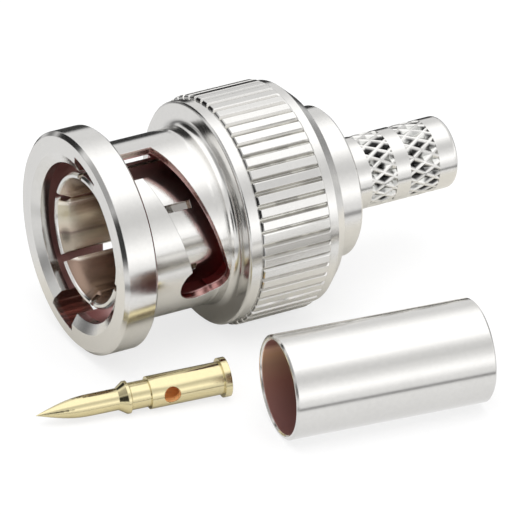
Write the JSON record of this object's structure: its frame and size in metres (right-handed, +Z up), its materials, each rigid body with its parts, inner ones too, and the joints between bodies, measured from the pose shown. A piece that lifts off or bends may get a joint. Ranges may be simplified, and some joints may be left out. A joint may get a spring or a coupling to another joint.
{
  "type": "bnc connector",
  "caption": "Bayonet coaxial crimp plug with a ribbed coupling nut, and its loose contact pin and crimp ferrule beside it.",
  "frame": {"origin": "centre of the plug's mating face, on the plug's axis", "axes": "+X runs from the mating face back to the cable, +Z is up from the surface that all the pieces lie on"},
  "size_m": [0.0324, 0.0272, 0.0145],
  "materials": {
    "nickel_plate": "bright nickel plate over brass",
    "ptfe": "white fluoropolymer",
    "silicone": "dark red silicone",
    "spring_steel": "hardened spring strip",
    "gold_plate": "gold plate over brass"
  },
  "bodies": {
    "plug": {"plug_body": "nickel_plate", "outer_contact": "nickel_plate", "insulator": "ptfe", "gasket": "silicone", "wave_washer_1": "spring_steel", "wave_washer_2": "spring_steel", "contact_pin": "gold_plate", "crimp_ferrule": "nickel_plate"},
    "thrust_ring": {"thrust_washer": "nickel_plate"},
    "nut": {"coupling_nut": "nickel_plate", "retaining_ring": "spring_steel"}
  },
  "joints": [
    {"name": "nut_slide", "type": "slide", "parent": "plug", "child": "thrust_ring", "axis": [-1, 0, 0], "range_m": [0, 0.0008], "stiffness_N_per_m": 200, "springref_m": -0.002, "deforming": ["wave_washer_1", "wave_washer_2"]},
    {"name": "nut_turn", "type": "hinge", "parent": "thrust_ring", "child": "nut", "pos_m": [0.011, 0, 0], "axis": [-1, 0, 0], "continuous": true}
  ]
}
